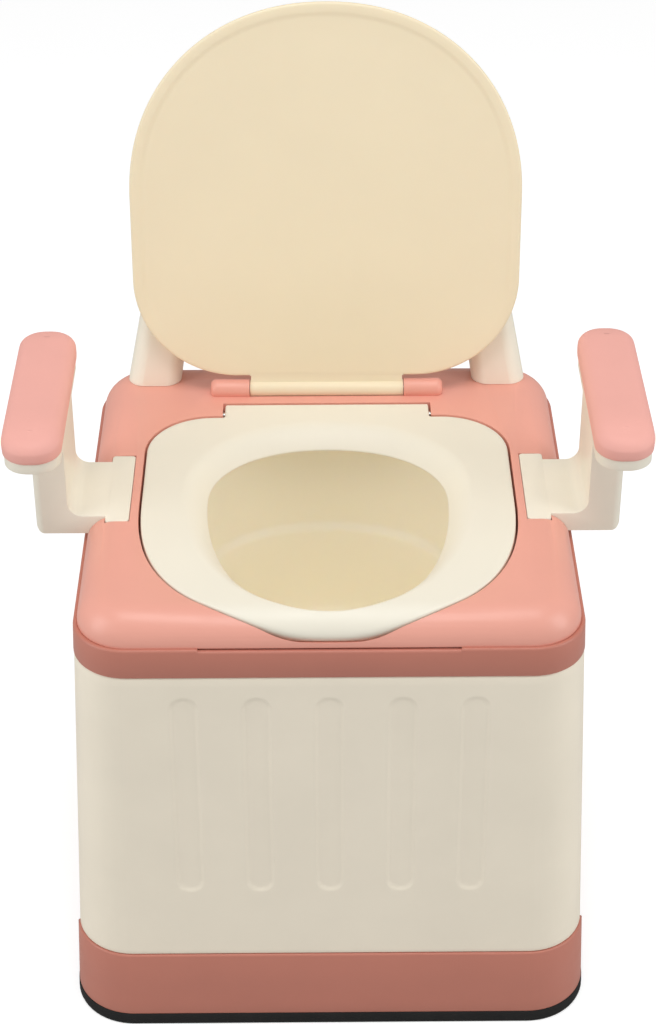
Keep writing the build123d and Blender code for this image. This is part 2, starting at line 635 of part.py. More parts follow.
# Lid: a shallow tray with a hinge tab, drawn on its own leaning plane
LID_BACK_ROUND = 5.0
LID_TAB_REACH = 33.5
LID_TAB_DRAFT = 3.0  # the tab narrows towards the panel
lean_normal = (0, -cos(radians(LID_LEAN)), sin(radians(LID_LEAN)))
lid_face = Plane(origin=(0, LID_AXIS_Y, LID_AXIS_Z), x_dir=(1, 0, 0), z_dir=lean_normal).offset(LID_FACE)
knuckle = rod(-LID_TAB_HALF, LID_TAB_HALF, LID_AXIS_Y, LID_AXIS_Z, KNUCKLE_RADIUS)
knuckle_bores = [
    rod(side * (LID_PIN_INNER - 1), side * (LID_TAB_HALF + 1), LID_AXIS_Y, LID_AXIS_Z, PIN_RADIUS + PIN_CLEARANCE)
    for side in (-1, 1)
]
with BuildPart() as lid:
    with BuildSketch(lid_face):
        add(lid_plan())
    extrude(amount=-LID_THICK)
    fillet(lid.faces().sort_by(Axis((0, 0, 0), lean_normal))[0].edges(), LID_BACK_ROUND)
    with BuildSketch(lid_face):
        add(lid_plan(LID_RIM))
    extrude(amount=LID_PANEL - LID_THICK, mode=Mode.SUBTRACT)
    with BuildSketch(lid_face):
        with BuildLine():
            Polyline(
                (-LID_TAB_HALF, 0), (LID_TAB_HALF, 0), (LID_TAB_HALF - LID_TAB_DRAFT, LID_TAB_REACH),
                (LID_TAB_DRAFT - LID_TAB_HALF, LID_TAB_REACH), (-LID_TAB_HALF, 0)
            )
        make_face()
    extrude(amount=-LID_THICK)
    add(knuckle)
    for bore in knuckle_bores:
        add(bore, mode=Mode.SUBTRACT)
finish(lid, "lid")

# Armrests
TRAY_CORNER = 20.0
PAD_ROUND = 9.0
UPRIGHT_ROUND = 7.0
PLUG_ROUND = 3.0
PAD_SCREW_YS = (-92.0, 42.0)
PAD_SCREW_REACH = 10.0
PAD_SCREW_HEAD = 2.2
pad_x = (PAD_INNER + PAD_OUTER) / 2
pad_y = (PAD_FRONT + PAD_REAR) / 2
pad_width = PAD_OUTER - PAD_INNER
pad_length = PAD_REAR - PAD_FRONT


def armrest_bracket(side):
    """Plug, arm, upright and tray, moulded in one piece."""
    head = slab((side * HEAD_INNER, side * HEAD_OUTER), (HEAD_FRONT, HEAD_REAR), (ARM_BOTTOM, DECK_TOP))
    arm = slab((side * HEAD_OUTER, side * UPRIGHT_OUTER), (ARM_FRONT, ARM_REAR), (ARM_BOTTOM, DECK_TOP))
    upright = slab((side * UPRIGHT_INNER, side * UPRIGHT_OUTER), (ARM_FRONT, ARM_REAR), (ARM_BOTTOM, TRAY_BOTTOM))
    near_outside = (side * (UPRIGHT_OUTER - 1), side * (UPRIGHT_OUTER + 1))
    with BuildPart() as bracket:
        add(head)
        add(arm)
        add(upright)
        corner = bracket.edges().filter_by(Axis.Y).filter_by_position(Axis.Z, DECK_TOP - 1, DECK_TOP + 1)
        corner = corner.filter_by_position(Axis.X, *sorted((side * (UPRIGHT_INNER - 1), side * (UPRIGHT_INNER + 1))))
        fillet(corner, ARM_FILLET)
        outside = bracket.edges().filter_by_position(Axis.X, *sorted(near_outside))
        fillet(outside.filter_by(Axis.Z) + outside.filter_by(Axis.Y).sort_by(Axis.Z)[0:1], UPRIGHT_ROUND)
        plug_corners = bracket.edges().filter_by(Axis.Z)
        plug_corners = plug_corners.filter_by_position(Axis.Y, HEAD_FRONT - 1, HEAD_FRONT + 1) + (
            plug_corners.filter_by_position(Axis.Y, HEAD_REAR - 1, HEAD_REAR + 1)
        )
        fillet(plug_corners, PLUG_ROUND)
        with BuildSketch(Plane.XY.offset(TRAY_BOTTOM)):
            with Locations((side * pad_x, pad_y)):
                RectangleRounded(pad_width - 2 * TRAY_INSET, pad_length - 2 * TRAY_INSET, TRAY_CORNER)
        extrude(amount=PAD_BOTTOM - TRAY_BOTTOM)
        with BuildSketch(Plane.XY.offset(TRAY_BOTTOM)):
            with Locations(*[(side * pad_x, along) for along in PAD_SCREW_YS]):
                Circle(SCREW_RADIUS + 0.2)
        extrude(amount=PAD_BOTTOM - TRAY_BOTTOM, mode=Mode.SUBTRACT)
    return bracket


def armrest_pad(side):
    """The pad's plain outer form, with blind holes for its screws."""
    with BuildPart() as pad:
        with BuildSketch(Plane.XY.offset(PAD_BOTTOM)):
            with Locations((side * pad_x, pad_y)):
                RectangleRounded(pad_width, pad_length, TRAY_CORNER + TRAY_INSET)
        extrude(amount=PAD_TOP - PAD_BOTTOM)
        fillet(pad.faces().sort_by(Axis.Z)[-1].edges(), PAD_ROUND)
        with BuildSketch(Plane.XY.offset(PAD_BOTTOM)):
            with Locations(*[(side * pad_x, along) for along in PAD_SCREW_YS]):
                Circle(SCREW_RADIUS + PIN_CLEARANCE)
        extrude(amount=PAD_SCREW_REACH + 0.5, mode=Mode.SUBTRACT)
    return pad


def armrest_screws(side):
    """The screws that hold the pad to the tray, with their heads under the tray."""
    places = [(side * pad_x, along) for along in PAD_SCREW_YS]
    with BuildPart() as screws:
        with BuildSketch(Plane.XY.offset(TRAY_BOTTOM - PAD_SCREW_HEAD)):
            with Locations(*places):
                Circle(SCREW_HEAD)
        extrude(amount=PAD_SCREW_HEAD)
        with BuildSketch(Plane.XY.offset(TRAY_BOTTOM)):
            with Locations(*places):
                Circle(SCREW_RADIUS)
        extrude(amount=PAD_BOTTOM - TRAY_BOTTOM + PAD_SCREW_REACH)
    return screws


for side, side_name in ((-1, "left"), (1, "right")):
    finish(armrest_bracket(side), f"armrest_bracket_{side_name}")
    finish(armrest_pad(side), f"armrest_pad_{side_name}")
    finish(armrest_screws(side), f"armrest_screws_{side_name}")

# Backrest panel, and posts that wrap round behind it and plug into the deck
PANEL_GAP = 0.3
PANEL_ROUND = 3.0
PANEL_OPEN = 3.0  # how far the panel's room in the posts runs past its front face
BACK_SCREW_HEIGHTS = (176.0, 232.0)
BACK_SCREW_INSET = 7.0  # from the post's middle towards the panel's centre
BACK_SCREW_GRIP = 6.0
back_face = Plane(origin=(0, BACK_FACE_Y, DECK_TOP), x_dir=(1, 0, 0), z_dir=lean_normal)
lean_slope = tan(radians(LID_LEAN))
deck_clear = soft_block(SEAM_Z, DECK_TOP + PANEL_GAP, DECK_HALF + PANEL_GAP, DECK_CORNER, DECK_EDGE)


def panel_form(grow, open_front):
    """The backrest panel, or the room it takes in the posts, which is open to the front."""
    with BuildPart() as form:
        with BuildSketch(back_face.offset(open_front)):
            with Locations((0, (PANEL_LOW + PANEL_HIGH) / 2)):
                RectangleRounded(
                    2 * (PANEL_HALF + grow), PANEL_HIGH - PANEL_LOW + 2 * grow, PANEL_CORNER + grow
                )
        extrude(amount=-PANEL_THICK - open_front - grow)
    return form.part


def post_middle(height):
    """Distance of a post's middle from the centre plane, at a height above the deck."""
    return POST_X - height * tan(radians(POST_INWARD))


def back_screws(radius, start, reach):
    """Round bars square to the panel at the four screw places."""
    with BuildPart() as bars:
        with BuildSketch(back_face.offset(start)):
            with Locations(*[
                (side * (post_middle(height) - BACK_SCREW_INSET), height)
                for side in (-1, 1) for height in BACK_SCREW_HEIGHTS
            ]):
                Circle(radius)
        extrude(amount=reach)
    return bars.part


panel_solid = panel_form(0, 0)
panel_room = panel_form(PANEL_GAP, PANEL_OPEN)
screw_start = -PANEL_THICK - PANEL_GAP - BACK_SCREW_GRIP
screw_room = back_screws(SCREW_RADIUS + PIN_CLEARANCE, screw_start - 30, 30 + BACK_SCREW_GRIP + 7)
head_room = back_screws(SCREW_HEAD + 0.5, screw_start, -30)
with BuildPart() as backrest_panel:
    add(panel_solid)
    fillet(backrest_panel.faces().sort_by(Axis((0, 0, 0), lean_normal))[-1].edges(), PANEL_ROUND)
    add(screw_room, mode=Mode.SUBTRACT)
finish(backrest_panel, "backrest_panel")

for side, side_name in ((-1, "left"), (1, "right")):
    with BuildPart() as backrest_post:
        for height, width, depth, corner in POST_SECTIONS:
            middle_y = POST_FRONT + height * lean_slope + depth / 2
            with BuildSketch(Plane.XY.offset(DECK_TOP + height)):
                with Locations((side * post_middle(height), middle_y)):
                    RectangleRounded(width, depth, corner)
        loft()
        add(deck_clear, mode=Mode.SUBTRACT)
        add(panel_room, mode=Mode.SUBTRACT)
        add(screw_room, mode=Mode.SUBTRACT)
        add(head_room, mode=Mode.SUBTRACT)
        with BuildSketch(tenon_plane(side).offset(6)):
            RectangleRounded(TENON_WIDTH, TENON_DEPTH, 5)
        extrude(amount=-TENON_LENGTH - 6)
    finish(backrest_post, f"backrest_post_{side_name}")

screw_shanks = back_screws(SCREW_RADIUS, screw_start, BACK_SCREW_GRIP + 6)
screw_heads = back_screws(SCREW_HEAD, screw_start, -2.2)
with BuildPart() as backrest_screws:
    add(screw_shanks)
    add(screw_heads)
finish(backrest_screws, "backrest_screws")
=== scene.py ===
import json
import math
import bmesh
import bpy
import numpy as np
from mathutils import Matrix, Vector


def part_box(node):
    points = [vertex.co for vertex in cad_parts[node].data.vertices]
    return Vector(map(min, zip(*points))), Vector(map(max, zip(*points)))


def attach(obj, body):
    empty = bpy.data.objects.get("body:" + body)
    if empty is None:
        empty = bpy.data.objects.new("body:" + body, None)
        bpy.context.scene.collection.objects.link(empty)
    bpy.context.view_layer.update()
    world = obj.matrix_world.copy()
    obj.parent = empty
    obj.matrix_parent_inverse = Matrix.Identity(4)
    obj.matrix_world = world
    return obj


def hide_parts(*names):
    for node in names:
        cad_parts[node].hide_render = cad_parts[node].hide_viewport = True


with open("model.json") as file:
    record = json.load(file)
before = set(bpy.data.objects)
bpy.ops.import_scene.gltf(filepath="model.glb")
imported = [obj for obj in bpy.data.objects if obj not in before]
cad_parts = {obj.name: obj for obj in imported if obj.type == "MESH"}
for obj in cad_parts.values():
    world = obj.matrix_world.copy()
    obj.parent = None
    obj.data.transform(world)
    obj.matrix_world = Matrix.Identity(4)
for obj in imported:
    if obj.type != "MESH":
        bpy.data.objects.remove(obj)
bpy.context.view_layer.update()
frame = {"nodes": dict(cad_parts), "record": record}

# Lengths below are in millimetres unless a name says otherwise; meshes are made in metres.
MM = 0.001


def node_box(node):
    """A CAD node's box in millimetres."""
    low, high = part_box(node)
    return Vector(low) / MM, Vector(high) / MM


# ---------------------------------------------------------------- mesh helpers

def skin(name, loops, closed=False, cap_first=False, cap_last=False):
    """A mesh object over a stack of loops that all have the same number of points."""
    count = loops.shape[1]
    rows = loops.shape[0]
    faces = []
    last_row = rows if closed else rows - 1
    for row in range(last_row):
        here, there = row * count, ((row + 1) % rows) * count
        for i in range(count):
            j = (i + 1) % count
            faces.append((here + i, here + j, there + j, there + i))
    if cap_first:
        faces.append(tuple(range(count - 1, -1, -1)))
    if cap_last:
        faces.append(tuple((rows - 1) * count + i for i in range(count)))
    mesh = bpy.data.meshes.new(name)
    mesh.from_pydata((loops.reshape(-1, 3) * MM).tolist(), [], faces)
    mesh.validate()
    shape = bmesh.new()
    shape.from_mesh(mesh)
    bmesh.ops.recalc_face_normals(shape, faces=shape.faces)
    shape.to_mesh(mesh)
    shape.free()
    mesh.shade_smooth()
    piece = bpy.data.objects.new(name, mesh)
    bpy.context.scene.collection.objects.link(piece)
    return piece


def softened(node, name, width, angle=32, segments=3):
    """A copy of a CAD node with its hard edges rounded, as a moulded piece has."""
    source = frame["nodes"][node]
    mesh = source.data.copy()
    mesh.materials.clear()
    shape = bmesh.new()
    shape.from_mesh(mesh)
    bmesh.ops.remove_doubles(shape, verts=shape.verts, dist=0.00002)
    bmesh.ops.dissolve_limit(
        shape, angle_limit=math.radians(0.6), verts=shape.verts, edges=shape.edges, delimit={"NORMAL"}
    )
    shape.to_mesh(mesh)
    shape.free()
    mesh.shade_smooth()
    piece = bpy.data.objects.new(name, mesh)
    bpy.context.scene.collection.objects.link(piece)
    bevel = piece.modifiers.new("edges", "BEVEL")
    bevel.width = width * MM
    bevel.segments = segments
    bevel.limit_method = "ANGLE"
    bevel.angle_limit = math.radians(angle)
    bevel.harden_normals = True
    apply_modifiers(piece)
    return piece


def apply_modifiers(piece):
    """Turn a piece's modifiers into its mesh."""
    graph = bpy.context.evaluated_depsgraph_get()
    mesh = bpy.data.meshes.new_from_object(piece.evaluated_get(graph))
    piece.modifiers.clear()
    piece.data = mesh


def place(piece, body, nodes, material):
    """Say what a piece rides on, which CAD nodes it stands for, and its finish."""
    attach(piece, body)
    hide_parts(*nodes)
    piece.data.materials.clear()
    piece.data.materials.append(material)


# ---------------------------------------------------------------- outlines

def egg_loop(half, rear, front, widest_y, power, angles):
    """A superellipse egg sampled at the given polar angles about its widest line."""
    points = []
    for a in angles:
        c, s = math.cos(a), math.sin(a)
        reach = rear - widest_y if s >= 0 else widest_y - front
        size = (abs(c / half) ** power + abs(s / reach) ** power) ** (-1 / power)
        points.append((size * c, widest_y + size * s))
    return np.array(points)


def inset_loop(points, amount):
    """An outline moved inward by an even amount, with its corners kept. The outline runs anticlockwise."""
    ahead = np.roll(points, -1, axis=0) - points
    ahead /= np.linalg.norm(ahead, axis=1)[:, None]
    behind = np.roll(ahead, 1, axis=0)
    inward_ahead = np.column_stack([-ahead[:, 1], ahead[:, 0]])
    inward_behind = np.column_stack([-behind[:, 1], behind[:, 0]])
    spread = 1 + np.sum(inward_ahead * inward_behind, axis=1)
    return points + np.asarray(amount).reshape(-1, 1) * (inward_ahead + inward_behind) / spread[:, None]


def evenly(points, spacing):
    """An open line of points placed again at an even spacing."""
    points = np.array(points, float)
    run = np.concatenate([[0], np.cumsum(np.linalg.norm(np.diff(points, axis=0), axis=1))])
    marks = np.linspace(0, run[-1], max(2, int(round(run[-1] / spacing)) + 1))
    return np.column_stack([np.interp(marks, run, points[:, k]) for k in (0, 1)])


def rounded_bar_loop(width, length, corner, centre, steps=10, side_steps=8):
    """A rounded rectangle about a centre."""
    x, y = width / 2 - corner, length / 2 - corner
    points = []
    corners = [(x, y, 0), (-x, y, 90), (-x, -y, 180), (x, -y, 270)]
    for k, (cx, cy, start) in enumerate(corners):
        for step in range(steps + 1):
            a = math.radians(start + 90 * step / steps)
            points.append((cx + corner * math.cos(a), cy + corner * math.sin(a)))
        nx, ny = corners[(k + 1) % 4][:2]
        a = math.radians(start + 90)
        begin = np.array((cx + corner * math.cos(a), cy + corner * math.sin(a)))
        end = np.array((nx + corner * math.cos(a), ny + corner * math.sin(a)))
        for step in range(1, side_steps):
            points.append(tuple(begin + (end - begin) * step / side_steps))
    return np.array(points) + np.array(centre)


def smooth(value):
    """A soft step from 0 to 1."""
    t = np.clip(value, 0, 1)
    return t * t * (3 - 2 * t)


def round_over(radius, steps=5):
    """Inset and drop of a quarter round, from the side face to the top face."""
    turns = np.linspace(0, math.pi / 2, steps + 1)
    return [(radius * (1 - math.cos(t)), radius * (1 - math.sin(t))) for t in turns]


# ---------------------------------------------------------------- materials

def plastic(name, colour, rough=0.38, mottle=0.02, grain=0.05, grain_size=1.1, soft=0.0, glow=0.0):
    """A moulded plastic: faint cloudiness in its colour, uneven gloss and a fine moulded grain.
    mottle is how much the colour varies, grain the bump's strength and grain_size its scale in mm.
    glow is the strength of a painted light, an emission that brightens the part though it is no lamp,
    standing in for the light that comes through a thin wall."""
    material = bpy.data.materials.new(name)
    material.use_nodes = True
    nodes, links = material.node_tree.nodes, material.node_tree.links
    shader = nodes["Principled BSDF"]
    shader.inputs["Subsurface Weight"].default_value = soft
    shader.inputs["Subsurface Radius"].default_value = (0.006, 0.004, 0.0025)
    shader.inputs["Subsurface Scale"].default_value = 1.0
    # Emission is painted light: a warm glow, as strong as glow, that brightens the part though it is no lamp
    shader.inputs["Emission Color"].default_value = (1.0, 0.7, 0.5, 1)
    shader.inputs["Emission Strength"].default_value = glow
    place_at = nodes.new("ShaderNodeTexCoord")

    cloud = nodes.new("ShaderNodeTexNoise")
    cloud.inputs["Scale"].default_value = 14
    cloud.inputs["Detail"].default_value = 4
    links.new(place_at.outputs["Object"], cloud.inputs["Vector"])
    tint = nodes.new("ShaderNodeValToRGB")
    tint.color_ramp.elements[0].position = 0.3
    tint.color_ramp.elements[1].position = 0.7
    tint.color_ramp.elements[0].color = [c * (1 - mottle) for c in colour] + [1]
    tint.color_ramp.elements[1].color = [min(1, c * (1 + mottle)) for c in colour] + [1]
    links.new(cloud.outputs["Fac"], tint.inputs["Fac"])
    links.new(tint.outputs["Color"], shader.inputs["Base Color"])

    wear = nodes.new("ShaderNodeTexNoise")
    wear.inputs["Scale"].default_value = 45
    wear.inputs["Detail"].default_value = 6
    links.new(place_at.outputs["Object"], wear.inputs["Vector"])
    gloss = nodes.new("ShaderNodeMapRange")
    gloss.inputs["From Min"].default_value = 0.3
    gloss.inputs["From Max"].default_value = 0.7
    gloss.inputs["To Min"].default_value = rough - 0.05
    gloss.inputs["To Max"].default_value = rough + 0.06
    links.new(wear.outputs["Fac"], gloss.inputs["Value"])
    links.new(gloss.outputs["Result"], shader.inputs["Roughness"])

    fine = nodes.new("ShaderNodeTexNoise")
    fine.inputs["Scale"].default_value = 1000 / grain_size
    fine.inputs["Detail"].default_value = 2
    links.new(place_at.outputs["Object"], fine.inputs["Vector"])
    bump = nodes.new("ShaderNodeBump")
    bump.inputs["Strength"].default_value = grain
    bump.inputs["Distance"].default_value = 0.0003
    links.new(fine.outputs["Fac"], bump.inputs["Height"])
    links.new(bump.outputs["Normal"], shader.inputs["Normal"])
    return material


def metal(name, colour, rough):
    """Plain zinc-plated steel with fine uneven gloss."""
    material = plastic(name, colour, rough, mottle=0.05, grain=0.1, grain_size=0.6)
    material.node_tree.nodes["Principled BSDF"].inputs["Metallic"].default_value = 1.0
    return material


def linear(red, green, blue):
    """A linear colour from its usual 0 to 255 values."""
    values = []
    for c in (red / 255, green / 255, blue / 255):
        values.append(c / 12.92 if c <= 0.04045 else ((c + 0.055) / 1.055) ** 2.4)
    return values


CREAM = linear(249, 239, 219)
PINK = linear(240, 170, 152)
DEEP_PINK = linear(196, 124, 106)
materials = {
    "cream_plastic": plastic("cream_body", CREAM, 0.42, grain=0.08),
    "seat_plastic": plastic("cream_seat", linear(243, 237, 220), 0.45, mottle=0.008, grain=0.003),
    "lid_plastic": plastic("cream_lid", linear(247, 232, 200), 0.45, mottle=0.01, grain=0.03, soft=0.05),
    # The bucket's glow is painted light that brightens its bowl, standing in for light through its thin wall
    "bucket_plastic": plastic(
        "cream_bucket", linear(254, 247, 226), 0.4, mottle=0.005, grain=0.005, soft=0.2, glow=0.045
    ),
    "armrest_plastic": plastic("cream_armrest", linear(243, 236, 219), 0.35, grain=0.04),
    "backrest_plastic": plastic("cream_backrest", linear(250, 244, 226), 0.38, grain=0.04),
    "deck_plastic": plastic("pink_deck", PINK, 0.36, grain=0.06),
    "band_plastic": plastic("pink_band", DEEP_PINK, 0.42, grain=0.08),
    "base_plastic": plastic("pink_base", DEEP_PINK, 0.42, grain=0.08),
    "pad_soft": plastic("pink_pad", linear(243, 177, 165), 0.6, grain=0.15, grain_size=0.9),
    "rubber": plastic("black_rubber", linear(12, 11, 10), 0.8, mottle=0.1, grain=0.3, grain_size=0.8),
    "steel": metal("zinc_steel", linear(200, 200, 198), 0.35),
    "pin_steel": metal("pin_steel", linear(190, 190, 188), 0.3),
}

# Every CAD node starts with its slot's material; the pieces below replace most of the shown ones
slot_of = {part["node"]: part["material_slot"] for part in frame["record"]["subparts"]}
for node_name, node in frame["nodes"].items():
    node.data.materials.clear()
    node.data.materials.append(materials[slot_of[node_name]])


# ---------------------------------------------------------------- body, base and rim band

FLOOR_HALF, SEAM_HALF, SEAM_Z = 219.3, 202.6, 392.0
FLOOR_CORNER, SEAM_CORNER = 50.0, 43.0
FLUTE_PITCH, FLUTE_RADIUS, FLUTE_DEPTH = 58.0, 12.5, 1.1
FLUTE_LOW, FLUTE_HIGH = 147.0, 347.0
RUBBER_TOP, BASE_TOP, FRONT_BASE_TOP, SHELL_TOP = 12.3, 57.0, 78.5, 365.5
WALL = 3.6
FLANGE = 24.0  # how far the inner flanges of the base and the body reach in
PROUD = -1.6  # inset of the base, which stands out past the body
GAP_HALF = 103.0  # half the width of the finger gap
PANEL_EDGE = 5.0  # how far round the front corners the base's high front panel reaches, degrees

# Places along a side, from its middle: across each flute, between flutes, and at the finger gap's ends
flute_steps = [0, 3, 6, 7.5, 8.5, 9.3, 10, 10.7, 11.4, 12.1, 12.8, 14]
flute_marks = [
    k * FLUTE_PITCH + side * step
    for k in range(-2, 3) for step in flute_steps for side in (-1, 1)
]
between_marks = [k * FLUTE_PITCH / 2 for k in (-5, -3, -1, 1, 3, 5)]
between_marks += [-103.2, -102.8, 102.8, 103.2, -152, 152]
SIDE_MARKS = sorted(set(flute_marks + between_marks))
CORNER_TURNS = [0, PANEL_EDGE - 0.25, PANEL_EDGE, 12, 18, 24, 30, 36, 42, 48, 54, 60, 66, 72, 78]
CORNER_TURNS += [90 - PANEL_EDGE, 90.25 - PANEL_EDGE, 90]


def body_loop(height, inset=0.0):
    """The flared body's outline at a height, with points where the flutes, panel and finger gap need them."""
    rise = height / SEAM_Z
    half = FLOOR_HALF - (FLOOR_HALF - SEAM_HALF) * rise - inset
    corner = FLOOR_CORNER - (FLOOR_CORNER - SEAM_CORNER) * rise - inset
    straight = half - corner
    points = []
    for turn in range(4):
        a = math.radians(90 * turn)
        c, s = math.cos(a), math.sin(a)
        run = [(half, y) for y in SIDE_MARKS]
        for angle in CORNER_TURNS:
            b = math.radians(angle)
            run.append((straight + corner * math.cos(b), straight + corner * math.sin(b)))
        points += [(x * c - y * s, x * s + y * c) for x, y in run]
    return np.array(points)


def side_and_mark():
    """For each point of a body loop: the side it lies on, -1 on a corner, and its place along that side."""
    sides, marks = [], []
    for turn in range(4):
        sides += [turn] * len(SIDE_MARKS) + [-1] * len(CORNER_TURNS)
        marks += list(SIDE_MARKS) + [0.0] * len(CORNER_TURNS)
    return np.array(sides), np.array(marks)


point_side, point_mark = side_and_mark()
FRONT = 3  # the fourth side of a body loop faces the front


def in_front_panel():
    """Which points of a body loop the base's high front panel covers."""
    covered = np.zeros(len(point_side), bool)
    covered[point_side == FRONT] = True
    per_side = len(SIDE_MARKS) + len(CORNER_TURNS)
    for turn, low, high in ((2, PANEL_EDGE, 90), (3, 0, 90 - PANEL_EDGE)):
        for k, angle in enumerate(CORNER_TURNS):
            if low <= angle <= high:
                covered[turn * per_side + len(SIDE_MARKS) + k] = True
    return covered


front_panel = in_front_panel()


def fluted(height, plan):
    """A body loop with the shallow flutes pressed in."""
    middle_low, middle_high = FLUTE_LOW + FLUTE_RADIUS, FLUTE_HIGH - FLUTE_RADIUS
    beyond = max(middle_low - height, height - middle_high, 0)
    nearest = point_mark - np.round(point_mark / FLUTE_PITCH) * FLUTE_PITCH
    off = np.hypot(nearest, beyond)
    depth = FLUTE_DEPTH * smooth((FLUTE_RADIUS - off) / 4.5)
    depth[(point_side < 0) | (np.abs(point_mark) > 2.5 * FLUTE_PITCH)] = 0
    moved = plan.copy()
    for turn in range(4):
        a = math.radians(90 * turn)
        here = point_side == turn
        moved[here] -= depth[here, None] * np.array((math.cos(a), math.sin(a)))
    return moved


def wall_row(height, inset, pressed=False):
    """One row of a body wall. height may differ from point to point."""
    level = np.broadcast_to(np.asarray(height, float), (len(point_side),))
    if level.min() == level.max():
        plan = body_loop(level[0], inset)
    else:
        is_high = (level == level.max())[:, None]
        plan = np.where(is_high, body_loop(level.max(), inset), body_loop(level.min(), inset))
    if pressed:
        plan = fluted(level[0], plan)
    return np.column_stack([plan, level])


# Body shell: its lower edge stands above the base, higher in front
foot = np.where(front_panel, FRONT_BASE_TOP + 0.5, BASE_TOP + 0.5)
rows = [wall_row(foot, 0.9), wall_row(foot + 0.25, 0.3), wall_row(foot + 0.9, 0.0)]
rows += [wall_row(h, 0) for h in (83, 100, 120, 138)]
low_ends = list(np.arange(145, 162, 0.9))
high_ends = list(np.arange(332.5, 349.5, 0.9))
for height in low_ends + list(np.arange(164, 332, 6)) + high_ends:
    rows.append(wall_row(height, 0, pressed=True))
rows += [wall_row(h, inset) for h, inset in ((356, 0), (363.6, 0), (364.9, 0.5), (SHELL_TOP, 1.5))]
rows += [wall_row(SHELL_TOP, 4.1), wall_row(374.5, 4.1), wall_row(374.5, 7.1), wall_row(356.5, 7.1)]
rows += [wall_row(356.5, WALL), wall_row(foot + 4, WALL), wall_row(foot + 4, FLANGE), wall_row(foot, FLANGE)]
shell = skin("body_shell_moulded", np.array(rows), closed=True)
place(shell, "base", ["body_shell"], materials["cream_plastic"])

# Base: a little proud of the body, higher in front, with an inner flange and a floor
top = np.where(front_panel, FRONT_BASE_TOP, BASE_TOP)
rows = [wall_row(RUBBER_TOP, PROUD + 0.8), wall_row(12.5, PROUD + 0.2), wall_row(13.2, PROUD)]
rows += [wall_row(25, PROUD), wall_row(45, PROUD), wall_row(top - 1.6, PROUD)]
rows += [wall_row(top - 0.5, PROUD + 0.45), wall_row(top, PROUD + 1.6), wall_row(top, WALL)]
rows += [wall_row(BASE_TOP, WALL), wall_row(BASE_TOP, FLANGE), wall_row(BASE_TOP - 4, FLANGE)]
rows += [wall_row(BASE_TOP - 4, WALL), wall_row(RUBBER_TOP + WALL, WALL)]
base = skin("base_moulded", np.array(rows), cap_first=True, cap_last=True)
place(base, "base", ["base_band"], materials["base_plastic"])

# Rim band, with a finger gap in its top edge at the front
top = np.where((point_side == FRONT) & (np.abs(point_mark) < GAP_HALF), SEAM_Z - 1.4, SEAM_Z)
rows = [wall_row(365.8, 1.0), wall_row(366.0, -0.2), wall_row(366.8, -0.6)]
rows += [wall_row(380, -0.6), wall_row(top - 1.8, -0.6), wall_row(top - 0.5, -0.1), wall_row(top, 1.2)]
rows += [wall_row(top, WALL), wall_row(365.8, WALL)]
band = skin("rim_band_moulded", np.array(rows), closed=True)
place(band, "base", ["rim_band"], materials["band_plastic"])

# Rubber ring, with a shallow tread groove underneath
ring_rows = [(RUBBER_TOP, -1.8), (12.1, -2), (2.6, -2), (0.8, -1.3), (0, 0.6), (0, 8.5), (1.2, 8.6)]
ring_rows += [(1.2, 11.4), (0, 11.5), (0, 19.6), (0.4, 20), (RUBBER_TOP, 20)]
ring = skin("rubber_ring_moulded", np.array([wall_row(h, inset) for h, inset in ring_rows]), closed=True)
place(ring, "base", ["anti_slip_ring"], materials["rubber"])


# ---------------------------------------------------------------- seat

DECK_TOP, DECK_HALF, DECK_EDGE = 418.0, 200.0, 25.0
SEAT_HALF, SEAT_FRONT, SEAT_WIDEST, SEAT_POWER = 155.0, -197.9, -30.0, 2.6
SEAT_CORNER, SHOULDER, TAB_HALF, TAB_REAR = 55.0, 100.0, 89.8, 121.0
SEAT_BOTTOM, TAB_BOTTOM = 397.0, 404.5
HOLE_WIDEST, HOLE_POWER = -15.0, 2.15
HOLE_LOW, HOLE_HIGH = (101.0, 68.0, -177.0), (122.0, 93.0, -185.0)


def deck_height(y):
    """Height of the deck's surface, which rolls over at the front."""
    past = np.clip(-y - (DECK_HALF - DECK_EDGE), 0, DECK_EDGE)
    return DECK_TOP - DECK_EDGE + np.sqrt(DECK_EDGE ** 2 - past ** 2)


def arc_points(centre, radius, start, end, steps):
    """Points of a circular arc, ends included."""
    turns = np.radians(np.linspace(start, end, steps + 1))
    return [(centre[0] + radius * math.cos(t), centre[1] + radius * math.sin(t)) for t in turns]


def seat_outline():
    """The seat's outline, anticlockwise from the middle of its front."""
    reach = SEAT_WIDEST - SEAT_FRONT
    front = []
    for t in np.linspace(math.pi / 2, 0, 400):
        across = SEAT_HALF * max(math.cos(t), 0) ** (2 / SEAT_POWER)
        front.append((across, SEAT_WIDEST - reach * math.sin(t) ** (2 / SEAT_POWER)))
    front[0] = (0, SEAT_FRONT)
    right = [tuple(p) for p in evenly(front, 3.5)]
    right += [tuple(p) for p in evenly([right[-1], (SEAT_HALF, SHOULDER - SEAT_CORNER)], 6)][1:]
    right += arc_points((SEAT_HALF - SEAT_CORNER, SHOULDER - SEAT_CORNER), SEAT_CORNER, 0, 90, 18)[1:]
    right += [(97, SHOULDER)] + arc_points((TAB_HALF + 2.5, SHOULDER + 2.5), 2.5, 270, 180, 5)
    right += [(TAB_HALF, 110)] + arc_points((TAB_HALF - 2, TAB_REAR - 2), 2, 0, 90, 4)
    right += [(x, TAB_REAR) for x in (80, 65, 50, 35, 18)]
    left = [(-x, y) for x, y in reversed(right[1:])]
    return np.array(right + [(0, TAB_REAR)] + left)


outline = seat_outline()
rays = np.arctan2(outline[:, 1] - HOLE_WIDEST, outline[:, 0])


def hole_loop(size, grow=0.0):
    """The seat's hole at one level, on the same rays as the outline."""
    half, rear, front = size
    return egg_loop(half + grow, rear + grow, front - grow, HOLE_WIDEST, HOLE_POWER, rays)


